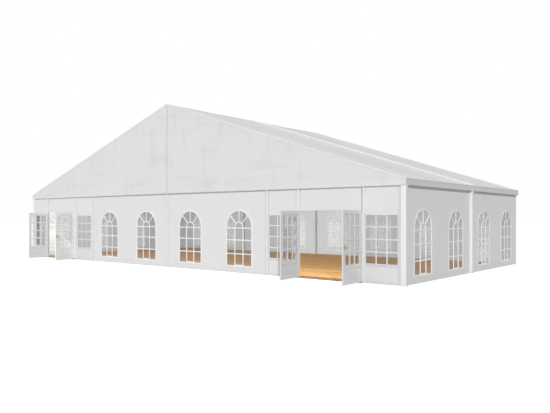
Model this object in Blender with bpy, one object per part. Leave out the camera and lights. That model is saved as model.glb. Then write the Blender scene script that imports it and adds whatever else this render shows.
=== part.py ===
"""Marquee tent: a clear-span pavilion of 20 m by 10 m with a pitched fabric roof.

Three aluminium portal frames carry the roof covers, the fascias and the purlins. Gable frames of
uprights close the two ends, and white panels with arched windows fill every bay. The two outer
bays of the front hold a pair of outward doors each, between sidelights.

X runs along the front gable, -Y is the front, +Z is up. The origin is on the ground in the middle.
"""

import math

import bmesh
import bpy
from mathutils import Matrix, Vector

# Overall size, in metres
SPAN = 20.0
LENGTH = 10.0
BAY = 5.0
EAVE = 3.0
PITCH = math.radians(18.0)
GAP = 0.0003

# Fabric skin
FABRIC = 0.010
FABRIC_EDGE = 2.80
FASCIA_EDGE = 2.82
SIDE_WALL_TOP = 2.90

# Portal frames
LEG_DEEP = 0.165
LEG_WIDE = 0.12
RAFTER_DEEP = 0.20
FASCIA = 0.085
PURLIN_WIDE = 0.06
PURLIN_HIGH = 0.10
RIDGE_PURLIN = 0.10

# Gable uprights, rail and door posts
POST = 0.05
POST_DEEP = 0.10
RAIL_HIGH = 0.03
GABLE_UPRIGHTS = (-BAY, 0.0, BAY)
DOOR_POSTS = (6.27, 8.645)
TRANSOM = 0.05
DOOR_HEAD = 2.12

# Wall panels and their windows
PANEL = 0.010
PANEL_INSET = 0.035
FILM = 0.004
WALL_FOOT = 0.004
WINDOW_OFFSET = 1.225
WINDOW_HALF = 0.57
WINDOW_SILL = 0.25
WINDOW_SPRING = 1.56
ARCH_SEGMENTS = 16
SIDELIGHT_WIDE = 1.04
SIDELIGHT_CENTRES = (5.60, 9.22)
SIDELIGHT_SILL = 0.568
SIDELIGHT_HEAD = 1.99
FILM_LAP = 0.06

# Floor
FLOOR = 0.030

# Door leaves and hinges
SIDE_CLEARANCE = 0.006
MEETING_CLEARANCE = 0.008
LEAF_THICK = 0.045
LEAF_FOOT = 0.042
LEAF_TOP = 2.112
LEAF_STILE = 0.125
LEAF_SILL = 0.57
LEAF_HEAD = 2.01
GLASS = 0.006
AXIS_OFFSET = 0.012
KNUCKLE_RADIUS = 0.010
KNUCKLE_HIGH = 0.05
HINGE_TAB = 0.029
HINGE_HEIGHTS = (0.25, 1.05, 1.85)
OPEN_ANGLES = {
    "left_door_left_leaf": 75.0,
    "left_door_right_leaf": 107.0,
    "right_door_left_leaf": 82.0,
    "right_door_right_leaf": 95.0,
}

# Lever handles
HANDLE_HEIGHT = 1.07
HANDLE_EDGE = 0.060
HANDLE_PLATE = Vector((0.040, 0.008, 0.170))
SPINDLE_RADIUS = 0.010
LEVER_LONG = 0.120
LEVER_THICK = 0.018
LEVER_REACH = 0.050

# Places worked out from the sizes above
HALF_SPAN = SPAN / 2
HALF_LENGTH = LENGTH / 2
SLOPE = math.tan(PITCH)
STRUCTURE = HALF_LENGTH - FABRIC - GAP
FRAME_INNER = STRUCTURE - LEG_WIDE
POST_INNER = STRUCTURE - POST_DEEP
LEG_INNER = HALF_SPAN - LEG_DEEP
FASCIA_INNER = HALF_SPAN - FASCIA
REAR_LEG_INNER = FASCIA_INNER - GAP - LEG_DEEP
OPENING = (DOOR_POSTS[0] + POST / 2, DOOR_POSTS[1] - POST / 2)
SIDE_WALL_OUTER = FASCIA_INNER - GAP
SIDE_WALL_INNER = SIDE_WALL_OUTER - PANEL
PANEL_OUTER = STRUCTURE - PANEL_INSET
RAIL_TOP = FABRIC_EDGE + RAIL_HIGH

parts = bpy.data.collections.new("marquee_tent")
cutters = bpy.data.collections.new("cutters")


def clear_scene():
    for item in list(bpy.data.objects):
        bpy.data.objects.remove(item, do_unlink=True)
    bpy.context.scene.collection.children.link(parts)
    bpy.context.scene.collection.children.link(cutters)
    cutters.hide_render = True


def finish(name, colour, roughness, metallic=0.0, transmission=0.0):
    """A Principled material of this name."""
    made = bpy.data.materials.new(name)
    made.use_nodes = True
    shader = made.node_tree.nodes["Principled BSDF"]
    shader.inputs["Base Color"].default_value = (*colour, 1.0)
    shader.inputs["Roughness"].default_value = roughness
    shader.inputs["Metallic"].default_value = metallic
    shader.inputs["Transmission Weight"].default_value = transmission
    made.diffuse_color = (*colour, 1.0)
    return made


COATED_FABRIC = finish("white_coated_fabric", (0.80, 0.80, 0.80), 0.45)
COATED_ALUMINIUM = finish("white_coated_aluminium", (0.86, 0.86, 0.86), 0.35)
WALL_PANEL = finish("white_wall_panel", (0.78, 0.78, 0.78), 0.50)
CLEAR_FILM = finish("clear_film", (0.85, 0.88, 0.86), 0.08, transmission=0.9)
DOOR_WHITE = finish("white_door_profile", (0.82, 0.82, 0.82), 0.35)
WOOD = finish("warm_floor_boards", (0.55, 0.28, 0.10), 0.45)
DARK_METAL = finish("dark_grey_metal", (0.05, 0.055, 0.06), 0.40, metallic=0.8)


def roof_height(x, below=0.0):
    """Height of the roof's outer face at x, or of a plane this far below it, square to the slope."""
    return EAVE + (HALF_SPAN - abs(x)) * SLOPE - below / math.cos(PITCH)


def under_cover(x):
    return roof_height(x, FABRIC) - GAP


def under_rafter(x):
    return roof_height(x, FABRIC + RAFTER_DEEP) - 2 * GAP


def keep(obj, material, home=parts):
    home.objects.link(obj)
    if material:
        obj.data.materials.append(material)
    if home is not parts:
        obj.hide_render = True
        obj.display_type = "WIRE"
    return obj


def box(name, low, high, material=None, home=parts):
    """A box between two opposite corners."""
    low, high = Vector(low), Vector(high)
    size = high - low
    mesh = bpy.data.meshes.new(name)
    work = bmesh.new()
    bmesh.ops.create_cube(work, size=1.0)
    bmesh.ops.scale(work, vec=[abs(side) for side in size], verts=work.verts)
    bmesh.ops.translate(work, vec=(low + high) / 2, verts=work.verts)
    work.to_mesh(mesh)
    work.free()
    return keep(bpy.data.objects.new(name, mesh), material, home)


def cylinder(name, radius, start, end, home):
    """A round bar from start to end."""
    start, end = Vector(start), Vector(end)
    along = end - start
    turn = Vector((0, 0, 1)).rotation_difference(along).to_matrix().to_4x4()
    mesh = bpy.data.meshes.new(name)
    work = bmesh.new()
    bmesh.ops.create_cone(
        work,
        cap_ends=True,
        segments=16,
        radius1=radius,
        radius2=radius,
        depth=along.length,
        matrix=Matrix.Translation((start + end) / 2) @ turn,
    )
    work.to_mesh(mesh)
    work.free()
    return keep(bpy.data.objects.new(name, mesh), None, home)


def plate(name, outlines, thickness, middle, facing, material):
    """A flat outline, with any holes in it, as a plate that faces X, Y or Z with its middle there."""
    curve = bpy.data.curves.new(name, "CURVE")
    curve.dimensions = "2D"
    curve.fill_mode = "BOTH"
    curve.extrude = thickness / 2
    for outline in outlines:
        spline = curve.splines.new("POLY")
        spline.points.add(len(outline) - 1)
        for point, (across, up) in zip(spline.points, outline):
            point.co = (across, up, 0.0, 1.0)
        spline.use_cyclic_u = True
    obj = keep(bpy.data.objects.new(name, curve), material)
    quarter = math.pi / 2
    if facing == "X":
        obj.rotation_euler = (quarter, 0.0, quarter)
        obj.location.x = middle
    elif facing == "Y":
        obj.rotation_euler = (quarter, 0.0, 0.0)
        obj.location.y = middle
    else:
        obj.location.z = middle
    return obj


def combine(obj, operation, pieces):
    """Joins the pieces to the object, or cuts them from it."""
    group = bpy.data.collections.new(f"{obj.name}_{operation.lower()}")
    cutters.children.link(group)
    for piece in pieces:
        cutters.objects.unlink(piece)
        group.objects.link(piece)
        piece.parent = obj.parent
    boolean = obj.modifiers.new(operation.title(), "BOOLEAN")
    boolean.operation = operation
    boolean.operand_type = "COLLECTION"
    boolean.collection = group


def rectangle(left, right, low, high):
    return [(left, low), (right, low), (right, high), (left, high)]


def arched_window(centre, extra=0.0):
    """A window outline: straight jambs under a half circle."""
    half = WINDOW_HALF + extra
    arch = []
    for step in range(ARCH_SEGMENTS + 1):
        angle = math.pi * step / ARCH_SEGMENTS
        arch.append((centre + half * math.cos(angle), WINDOW_SPRING + half * math.sin(angle)))
    sill = WINDOW_SILL - extra
    return [(centre - half, sill), (centre + half, sill), *arch]


def leg_inner(side):
    """Where the inner faces of the legs are at this end of the tent."""
    return REAR_LEG_INNER if side > 0 else LEG_INNER


def portal_frame(name, middle):
    """Two legs and two rafters in one piece.

    The outer halves of the front and middle legs stop under the fascia. The rear legs stand behind
    it, with their outer faces in line with the side walls.
    """
    shelf = FASCIA_EDGE - GAP
    foot = [(FASCIA_INNER - GAP, shelf), (HALF_SPAN, shelf), (HALF_SPAN, 0.0)]
    inner = leg_inner(middle)
    if middle > 0:
        foot = [(FASCIA_INNER - GAP, 0.0)]
    half = [
        (FASCIA_INNER - GAP, under_cover(FASCIA_INNER - GAP)),
        *foot,
        (inner, 0.0),
        (inner, under_rafter(inner) + GAP),
    ]
    other_half = [(-x, z) for x, z in reversed(half)]
    outline = [(0.0, under_cover(0.0)), *half, (0.0, under_rafter(0.0) + GAP), *other_half]
    plate(name, [outline], LEG_WIDE, middle, "Y", COATED_ALUMINIUM)


def frames_and_purlins():
    portal_frame("front_frame", -STRUCTURE + LEG_WIDE / 2)
    portal_frame("middle_frame", 0.0)
    portal_frame("rear_frame", STRUCTURE - LEG_WIDE / 2)
    for bay, side in (("front", -1), ("rear", 1)):
        near = side * (LEG_WIDE / 2 + GAP)
        far = side * (FRAME_INNER - GAP)
        half = RIDGE_PURLIN / 2
        top = under_cover(half)
        low = (-half, near, top - RIDGE_PURLIN)
        box(f"{bay}_ridge_purlin", low, (half, far, top), COATED_ALUMINIUM)
        for hand, turn in (("left", -1), ("right", 1)):
            inner = turn * (HALF_SPAN / 2 - PURLIN_WIDE / 2)
            outer = turn * (HALF_SPAN / 2 + PURLIN_WIDE / 2)
            top = under_cover(outer)
            low = (inner, near, top - PURLIN_HIGH)
            box(f"{bay}_{hand}_roof_purlin", low, (outer, far, top), COATED_ALUMINIUM)
            inner = turn * LEG_INNER
            outer = turn * (SIDE_WALL_INNER - GAP)
            low = (inner, near, FABRIC_EDGE)
            high = (outer, far, under_cover(outer))
            box(f"{bay}_{hand}_eave_purlin", low, high, COATED_ALUMINIUM)


def fascias():
    for hand, turn in (("left", -1), ("right", 1)):
        low = (turn * FASCIA_INNER, -STRUCTURE, FASCIA_EDGE)
        high = (turn * HALF_SPAN, STRUCTURE, under_cover(HALF_SPAN))
        box(f"{hand}_fascia", low, high, COATED_ALUMINIUM)


def roof_covers():
    """One cover for each bay, over both slopes. They meet on the middle frame."""
    top = [(HALF_SPAN, EAVE), (0.0, roof_height(0.0)), (-HALF_SPAN, EAVE)]
    underside = [(x, z - FABRIC / math.cos(PITCH)) for x, z in reversed(top)]
    for bay, side in (("front", -1), ("rear", 1)):
        length = HALF_LENGTH - GAP / 2
        middle = side * (HALF_LENGTH + GAP / 2) / 2
        plate(f"{bay}_roof_cover", [top + underside], length, middle, "Y", COATED_FABRIC)


def gable_fabrics():
    for end, side in (("front", -1), ("rear", 1)):
        for hand, turn in (("left", -1), ("right", 1)):
            outline = [
                (turn * GAP / 2, FABRIC_EDGE),
                (turn * HALF_SPAN, FABRIC_EDGE),
                (turn * HALF_SPAN, under_cover(HALF_SPAN)),
                (turn * GAP / 2, under_cover(0.0)),
            ]
            middle = side * (HALF_LENGTH - FABRIC / 2)
            name = f"{end}_{hand}_gable_fabric"
            plate(name, [outline], FABRIC, middle, "Y", COATED_FABRIC)


def upright(x, side, top, name):
    """A gable upright or door post. Its top follows the rafter above it where it reaches that high."""
    low = (x - POST / 2, side * STRUCTURE, 0.0)
    high = (x + POST / 2, side * POST_INNER, top)
    return box(name, low, high, home=cutters)


def hinge_axes():
    """Each leaf's name, the x of its hinge axis, and which way it reaches when closed."""
    inner = OPENING[0] + SIDE_CLEARANCE / 2
    outer = OPENING[1] - SIDE_CLEARANCE / 2
    return (
        ("left_door_left_leaf", -outer, 1),
        ("left_door_right_leaf", -inner, -1),
        ("right_door_left_leaf", inner, 1),
        ("right_door_right_leaf", outer, -1),
    )


AXIS_Y = -STRUCTURE - AXIS_OFFSET


def knuckle(name, axis_x, axis_y, reach, foot):
    """A hinge knuckle, and the tab that joins it to the post or leaf on its reach side."""
    barrel = cylinder(
        f"{name}_barrel",
        KNUCKLE_RADIUS,
        (axis_x, axis_y, foot),
        (axis_x, axis_y, foot + KNUCKLE_HIGH),
        cutters,
    )
    tab_low = (axis_x + reach * 0.004, axis_y - 0.004, foot)
    tab_high = (
        axis_x + reach * (0.004 + HINGE_TAB),
        axis_y + AXIS_OFFSET + 0.004,
        foot + KNUCKLE_HIGH,
    )
    return [barrel, box(f"{name}_tab", tab_low, tab_high, home=cutters)]


def gable_frame(end, side):
    """The rail behind the fabric's lower edge, and the uprights fused with it."""
    edge = leg_inner(side) - GAP
    low = (-edge, side * STRUCTURE, FABRIC_EDGE)
    high = (edge, side * POST_INNER, RAIL_TOP)
    rail = box(f"{end}_gable_frame", low, high, COATED_ALUMINIUM)
    pieces = []
    for x in GABLE_UPRIGHTS:
        top = under_rafter(abs(x) + POST / 2)
        pieces.append(upright(x, side, top, f"{end}_upright"))
    if side < 0:
        pieces += door_surrounds()
    combine(rail, "UNION", pieces)


def door_surrounds():
    """Door posts, the transoms behind the panels over the doors, and the fixed halves of the hinges."""
    pieces = []
    for turn in (-1, 1):
        for x in DOOR_POSTS:
            pieces.append(upright(turn * x, -1, RAIL_TOP - 0.02, "door_post"))
        low = (turn * DOOR_POSTS[0], -(PANEL_OUTER - PANEL - GAP), DOOR_HEAD)
        high = (turn * DOOR_POSTS[1], -POST_INNER, DOOR_HEAD + TRANSOM)
        pieces.append(box("transom", low, high, home=cutters))
    for leaf, axis_x, reach in hinge_axes():
        for foot in HINGE_HEIGHTS:
            pieces += knuckle(f"{leaf}_fixed_knuckle", axis_x, AXIS_Y, -reach, foot)
    return pieces


def window_pair(middle):
    return [arched_window(middle - WINDOW_OFFSET), arched_window(middle + WINDOW_OFFSET)]


def bay_panel(name, left, right, middle, plane, facing):
    """A wall panel of one bay with its two arched windows."""
    outline = rectangle(left, right, WALL_FOOT, FABRIC_EDGE - GAP)
    plate(name, [outline, *window_pair(middle)], PANEL, plane, facing, WALL_PANEL)


def front_walls():
    plane = -(PANEL_OUTER - PANEL / 2)
    edge = POST / 2 + GAP
    bay_panel("front_left_arched_panel", -BAY + edge, -edge, -BAY / 2, plane, "Y")
    bay_panel("front_right_arched_panel", edge, BAY - edge, BAY / 2, plane, "Y")
    for hand, turn in (("left", -1), ("right", 1)):
        sides = (
            ("inner", BAY + edge, DOOR_POSTS[0] - edge, SIDELIGHT_CENTRES[0]),
            ("outer", DOOR_POSTS[1] + edge, LEG_INNER - GAP, SIDELIGHT_CENTRES[1]),
        )
        for place, near, far, centre in sides:
            panel = rectangle(turn * near, turn * far, WALL_FOOT, FABRIC_EDGE - GAP)
            half = SIDELIGHT_WIDE / 2
            window = rectangle(
                turn * (centre - half), turn * (centre + half), SIDELIGHT_SILL, SIDELIGHT_HEAD
            )
            name = f"{hand}_door_{place}_sidelight"
            plate(name, [panel, window], PANEL, plane, "Y", WALL_PANEL)
        header = rectangle(
            turn * (DOOR_POSTS[0] + edge),
            turn * (DOOR_POSTS[1] - edge),
            DOOR_HEAD,
            FABRIC_EDGE - GAP,
        )
        plate(f"{hand}_door_header_panel", [header], PANEL, plane, "Y", WALL_PANEL)


def rear_walls():
    plane = PANEL_OUTER - PANEL / 2
    edge = POST / 2 + GAP
    corner = REAR_LEG_INNER + POST / 2
    lines = (-corner, *GABLE_UPRIGHTS, corner)
    names = ("far_left", "left", "right", "far_right")
    for index, name in enumerate(names):
        left, right = lines[index] + edge, lines[index + 1] - edge
        middle = (index - 1.5) * BAY
        bay_panel(f"rear_{name}_panel", left, right, middle, plane, "Y")


def side_walls():
    near = LEG_WIDE / 2 + GAP
    far = FRAME_INNER - GAP
    for hand, turn in (("left", -1), ("right", 1)):
        plane = turn * (SIDE_WALL_OUTER - PANEL / 2)
        film_plane = turn * (SIDE_WALL_INNER - GAP - FILM / 2)
        for bay, side in (("front", -1), ("rear", 1)):
            left, right = sorted((side * near, side * far))
            middle = side * BAY / 2
            outline = rectangle(left, right, WALL_FOOT, SIDE_WALL_TOP)
            name = f"{hand}_{bay}_wall"
            plate(name, [outline, *window_pair(middle)], PANEL, plane, "X", WALL_PANEL)
            reach = WINDOW_OFFSET + WINDOW_HALF + FILM_LAP
            film = rectangle(
                middle - reach,
                middle + reach,
                WINDOW_SILL - FILM_LAP,
                WINDOW_SPRING + WINDOW_HALF + FILM_LAP,
            )
            plate(f"{name}_film", [film], FILM, film_plane, "X", CLEAR_FILM)


def gable_films():
    """One clear sheet behind the uprights closes the windows of each gable wall."""
    low = WINDOW_SILL - FILM_LAP
    high = WINDOW_SPRING + WINDOW_HALF + FILM_LAP
    plane = POST_INNER - GAP - FILM / 2
    edge = REAR_LEG_INNER - GAP
    plate("rear_window_film", [rectangle(-edge, edge, low, high)], FILM, plane, "Y", CLEAR_FILM)
    edge = LEG_INNER - GAP
    head = DOOR_HEAD + 0.01
    near, far = OPENING[0] - 0.02, OPENING[1] + 0.02
    right = [(near, low), (near, head), (far, head), (far, low), (edge, low), (edge, high)]
    left = [(-x, z) for x, z in reversed(right)]
    plate("front_window_film", [right + left], FILM, -plane, "Y", CLEAR_FILM)


def floor():
    """Boards from wall to wall, notched round the legs, with a tongue through each doorway."""
    back = FRAME_INNER - GAP
    front = POST_INNER - GAP
    threshold = STRUCTURE - 0.005
    near, far = OPENING[0] + GAP, OPENING[1] - GAP
    inner = LEG_INNER - GAP
    rear_inner = REAR_LEG_INNER - GAP
    outer = SIDE_WALL_INNER - GAP
    notch = LEG_WIDE / 2 + GAP
    half = [
        (near, -front),
        (near, -threshold),
        (far, -threshold),
        (far, -front),
        (inner, -front),
        (inner, -back),
        (outer, -back),
        (outer, -notch),
        (inner, -notch),
        (inner, notch),
        (outer, notch),
        (outer, back),
        (rear_inner, back),
        (rear_inner, front),
    ]
    other_half = [(-x, y) for x, y in reversed(half)]
    plate("board_floor", [half + other_half], FLOOR, FLOOR / 2, "Z", WOOD)


def handle(leaf, hinge, reach, leaf_wide):
    """A lever and plate on each face, joined by the spindle through the leaf."""
    x = reach * (SIDE_CLEARANCE / 2 + leaf_wide - HANDLE_EDGE)
    front = AXIS_OFFSET
    back = AXIS_OFFSET + LEAF_THICK
    pieces = []
    for face, way in ((front, -1), (back, 1)):
        near = face + way * GAP
        far = near + way * HANDLE_PLATE.y
        half = HANDLE_PLATE / 2
        low = (x - half.x, near, HANDLE_HEIGHT - half.z)
        high = (x + half.x, far, HANDLE_HEIGHT + half.z)
        pieces.append(box("handle_plate", low, high, home=cutters))
        tip = face + way * LEVER_REACH
        low = (x + reach * SPINDLE_RADIUS, tip, HANDLE_HEIGHT - LEVER_THICK / 2)
        end = x - reach * LEVER_LONG
        high = (end, tip - way * LEVER_THICK * 0.7, HANDLE_HEIGHT + LEVER_THICK / 2)
        pieces.append(box("handle_lever", low, high, home=cutters))
    start = (x, front - LEVER_REACH + LEVER_THICK / 4, HANDLE_HEIGHT)
    end = (x, back + LEVER_REACH - LEVER_THICK / 4, HANDLE_HEIGHT)
    spindle = cylinder(f"{leaf}_handle", SPINDLE_RADIUS, start, end, cutters)
    cutters.objects.unlink(spindle)
    parts.objects.link(spindle)
    spindle.hide_render = False
    spindle.display_type = "TEXTURED"
    spindle.data.materials.append(DARK_METAL)
    spindle.parent = hinge
    combine(spindle, "UNION", pieces)
    hole = (SPINDLE_RADIUS + GAP * 2, (x, front - 0.01, HANDLE_HEIGHT), (x, back + 0.01, HANDLE_HEIGHT))
    return cylinder("spindle_hole", *hole, cutters)


def door_leaf(leaf, axis_x, reach):
    """One leaf with its glass, at its open angle about the hinge axis."""
    hinge = bpy.data.objects.new(f"{leaf}_hinge", None)
    parts.objects.link(hinge)
    hinge.location = (axis_x, AXIS_Y, 0.0)
    hinge.rotation_euler.z = -reach * math.radians(OPEN_ANGLES[leaf])
    opening = OPENING[1] - OPENING[0]
    wide = (opening - 2 * SIDE_CLEARANCE - MEETING_CLEARANCE) / 2
    start = reach * SIDE_CLEARANCE / 2
    end = start + reach * wide
    front, back = AXIS_OFFSET, AXIS_OFFSET + LEAF_THICK
    body = box(leaf, (start, front, LEAF_FOOT), (end, back, LEAF_TOP), DOOR_WHITE)
    body.parent = hinge
    left, right = start + reach * LEAF_STILE, end - reach * LEAF_STILE
    window = box(
        "leaf_window", (left, front - 0.01, LEAF_SILL), (right, back + 0.01, LEAF_HEAD), home=cutters
    )
    cuts = [window]
    if "right_leaf" in leaf:
        cuts.append(handle(leaf, hinge, reach, wide))
    combine(body, "DIFFERENCE", cuts)
    knuckles = []
    for foot in HINGE_HEIGHTS:
        foot = foot + KNUCKLE_HIGH + GAP
        knuckles += knuckle(f"{leaf}_knuckle", 0.0, 0.0, reach, foot)
    combine(body, "UNION", knuckles)
    middle = (front + back) / 2
    low = (left + reach * GAP, middle - GLASS / 2, LEAF_SILL + GAP)
    high = (right - reach * GAP, middle + GLASS / 2, LEAF_HEAD - GAP)
    glass = box(f"{leaf}_glass", low, high, CLEAR_FILM)
    glass.parent = hinge


def main():
    clear_scene()
    frames_and_purlins()
    fascias()
    roof_covers()
    gable_fabrics()
    gable_frame("front", -1)
    gable_frame("rear", 1)
    front_walls()
    rear_walls()
    side_walls()
    gable_films()
    floor()
    for leaf, axis_x, reach in hinge_axes():
        door_leaf(leaf, axis_x, reach)


main()
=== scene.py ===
# %% [markdown]
# A marquee tent, 20 m by 10 m. Its plain solids are already modelled and packed, and this lesson
# dresses them: it loads the solids as a fixed frame, then adds cloth, windows, doors, boards and
# finishes around them. Nothing that is loaded is moved. X runs along the front gable, -Y is the
# front and Z is up, in metres.

# %% Load the fixed frame
import math
import random

import bmesh
import bpy
from mathutils import Matrix, Vector, noise


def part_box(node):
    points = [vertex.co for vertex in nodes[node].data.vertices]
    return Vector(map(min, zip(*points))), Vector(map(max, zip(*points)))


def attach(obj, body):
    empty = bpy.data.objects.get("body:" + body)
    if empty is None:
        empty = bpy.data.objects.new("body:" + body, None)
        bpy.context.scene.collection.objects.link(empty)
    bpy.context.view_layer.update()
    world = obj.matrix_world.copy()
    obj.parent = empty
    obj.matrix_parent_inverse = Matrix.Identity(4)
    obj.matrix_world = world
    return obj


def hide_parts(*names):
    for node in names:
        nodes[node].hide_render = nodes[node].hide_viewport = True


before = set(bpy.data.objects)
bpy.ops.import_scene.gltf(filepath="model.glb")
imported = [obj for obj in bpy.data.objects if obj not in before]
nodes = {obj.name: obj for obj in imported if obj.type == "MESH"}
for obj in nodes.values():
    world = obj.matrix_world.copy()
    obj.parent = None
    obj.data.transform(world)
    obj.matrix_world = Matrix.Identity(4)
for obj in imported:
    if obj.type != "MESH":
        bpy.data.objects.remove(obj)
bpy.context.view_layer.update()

scene = bpy.context.scene
print("solids loaded:", len(nodes))

# %% [markdown]
# The camera stands at eye height off the front right corner. Its place, turn and focal length were
# worked out from the corners of the real tent, so straight edges fall on the same pixels. It is kept
# level, because the uprights in the picture are parallel, and a small shift frames the view.

# %% Camera
EYE = Vector((17.333, -19.6936, 1.916))
CAMERA_TURN = 0.6838
camera_data = bpy.data.cameras.new("camera")
camera_data.lens = 38.18
camera_data.sensor_width = 36.0
camera_data.shift_y = 0.0193
camera = bpy.data.objects.new("camera", camera_data)
camera.location = EYE
camera.rotation_euler = (math.pi / 2, 0.0, CAMERA_TURN)
scene.collection.objects.link(camera)
scene.camera = camera
print("camera at", tuple(camera.location))

# %% [markdown]
# White things need a gentle light, or they burn out. A low sun from the front right models the
# walls, a pale sky fills the shadows, a broad soft lamp from the front left lifts the gable, and
# another from above lifts the roof. Two large lamps stand in for the daylight inside: one at eaves
# height that looks down, one behind the front wall that looks back. The plain view transform keeps
# whites clean.

# %% Light
SUN_AZIMUTH = math.radians(40.5)
SUN_HEIGHT = math.radians(30.4)


def sun_lamp(name, azimuth, height, strength, spread):
    """A sun that shines from this azimuth, counted from the front towards +X."""
    lamp = bpy.data.lights.new(name, "SUN")
    lamp.energy = strength
    lamp.angle = math.radians(spread)
    holder = bpy.data.objects.new(name, lamp)
    flat = math.cos(height)
    towards = Vector((math.sin(azimuth) * flat, -math.cos(azimuth) * flat, math.sin(height)))
    holder.rotation_euler = towards.to_track_quat("Z", "Y").to_euler()
    scene.collection.objects.link(holder)
    return holder


def soft_lamp(name, place, size, watts, facing):
    """A large rectangle of light that nothing sees directly."""
    lamp = bpy.data.lights.new(name, "AREA")
    lamp.shape = "RECTANGLE"
    lamp.size, lamp.size_y = size
    lamp.energy = watts
    holder = bpy.data.objects.new(name, lamp)
    holder.location = place
    holder.rotation_euler = Vector(facing).to_track_quat("-Z", "Y").to_euler()
    holder.visible_camera = False
    holder.visible_glossy = False
    scene.collection.objects.link(holder)
    return holder


sun_lamp("sun", SUN_AZIMUTH, SUN_HEIGHT, 0.655 * math.pi, 2.5)
sun_lamp("front_fill", math.radians(-28.0), math.radians(18.0), 0.235 * math.pi, 70.0)
sun_lamp("top_fill", 0.0, math.radians(90.0), 0.16 * math.pi, 20.0)
soft_lamp("roof_glow", (0.0, 0.0, 2.78), (18.4, 9.2), 130.0, (0.0, 0.0, -1.0))
soft_lamp("inside_fill", (0.0, -4.72, 1.50), (19.0, 2.5), 390.0, (0.0, 1.0, 0.0))

world = bpy.data.worlds.new("pale_sky")
world.use_nodes = True
sky = world.node_tree.nodes["Background"]
sky.inputs["Color"].default_value = (1.0, 1.0, 1.0, 1.0)
sky.inputs["Strength"].default_value = 0.33
white = world.node_tree.nodes.new("ShaderNodeBackground")
white.inputs["Color"].default_value = (1.0, 1.0, 1.0, 1.0)
rays = world.node_tree.nodes.new("ShaderNodeLightPath")
pick = world.node_tree.nodes.new("ShaderNodeMixShader")
world.node_tree.links.new(rays.outputs["Is Camera Ray"], pick.inputs["Fac"])
world.node_tree.links.new(sky.outputs["Background"], pick.inputs[1])
world.node_tree.links.new(white.outputs["Background"], pick.inputs[2])
world.node_tree.links.new(pick.outputs["Shader"], world.node_tree.nodes["World Output"].inputs["Surface"])
scene.world = world
scene.view_settings.view_transform = "Standard"
scene.view_settings.look = "None"

# %% [markdown]
# Every finish is a small tree of nodes on one Principled shader. Three helpers cover most of it: a
# noise read in object space, a colour that drifts between two tones with it, and a bump that stacks
# on the one before. Sizes are in metres, so a noise scale of 4 means patches of about 25 cm.


# %% Helpers for finishes
def start_finish(name, roughness, metallic=0.0, specular=0.5):
    """A material, its node tree and its shader."""
    made = bpy.data.materials.new(name)
    made.use_nodes = True
    shader = made.node_tree.nodes["Principled BSDF"]
    shader.inputs["Roughness"].default_value = roughness
    shader.inputs["Metallic"].default_value = metallic
    shader.inputs["Specular IOR Level"].default_value = specular
    return made, made.node_tree, shader


def object_space(tree, stretch=(1.0, 1.0, 1.0)):
    """Object coordinates, stretched along each axis."""
    place = tree.nodes.new("ShaderNodeTexCoord")
    mapping = tree.nodes.new("ShaderNodeMapping")
    mapping.inputs["Scale"].default_value = stretch
    tree.links.new(place.outputs["Object"], mapping.inputs["Vector"])
    return mapping.outputs["Vector"]


def patches(tree, scale, detail=3.0, stretch=(1.0, 1.0, 1.0)):
    """Noise from 0 to 1 with patches of about 1 / scale metres."""
    texture = tree.nodes.new("ShaderNodeTexNoise")
    texture.inputs["Scale"].default_value = scale
    texture.inputs["Detail"].default_value = detail
    tree.links.new(object_space(tree, stretch), texture.inputs["Vector"])
    return texture.outputs["Fac"]


def ramp(tree, factor, stops):
    """A colour ramp over (position, colour) stops."""
    node = tree.nodes.new("ShaderNodeValToRGB")
    first, last = node.color_ramp.elements
    first.position, first.color = stops[0][0], (*stops[0][1], 1.0)
    last.position, last.color = stops[-1][0], (*stops[-1][1], 1.0)
    for position, colour in stops[1:-1]:
        node.color_ramp.elements.new(position).color = (*colour, 1.0)
    tree.links.new(factor, node.inputs["Fac"])
    return node.outputs["Color"]


def multiply(tree, first, second, amount=1.0):
    """Two colours multiplied."""
    node = tree.nodes.new("ShaderNodeMix")
    node.data_type = "RGBA"
    node.blend_type = "MULTIPLY"
    node.inputs["Factor"].default_value = amount
    tree.links.new(first, node.inputs["A"])
    tree.links.new(second, node.inputs["B"])
    return node.outputs["Result"]


def between(tree, factor, low, high):
    """A number that runs from low to high with the factor."""
    node = tree.nodes.new("ShaderNodeMapRange")
    node.inputs["To Min"].default_value = low
    node.inputs["To Max"].default_value = high
    tree.links.new(factor, node.inputs["Value"])
    return node.outputs["Result"]


def add_bump(tree, height, strength, distance, before=None):
    """A bump from a height, on top of an earlier one."""
    node = tree.nodes.new("ShaderNodeBump")
    node.inputs["Strength"].default_value = strength
    node.inputs["Distance"].default_value = distance
    tree.links.new(height, node.inputs["Height"])
    if before:
        tree.links.new(before, node.inputs["Normal"])
    return node.outputs["Normal"]


def grey(value, warm=0.0):
    """A grey, a little warmer where warm is above zero."""
    return (value + warm, value, value - warm)


# %% [markdown]
# The roof and gables are polyester coated in white vinyl. It is a satin cloth: fine weave under the
# coating, a little cloudiness, and faint streaks that run down the slope, where rain carries dust.
# The roof is painted palest over the doubled cloth on the frames and a touch greyer between: painted shade.


# %% Coated cloth
def weave(tree, threads, strength, before=None):
    """Crossed threads, this many to the metre, as bump."""
    for direction in ("X", "Y"):
        texture = tree.nodes.new("ShaderNodeTexWave")
        texture.wave_type = "BANDS"
        texture.bands_direction = direction
        texture.inputs["Scale"].default_value = threads / 20.0
        tree.links.new(object_space(tree), texture.inputs["Vector"])
        before = add_bump(tree, texture.outputs["Fac"], strength, 0.0004, before)
    return before


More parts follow.
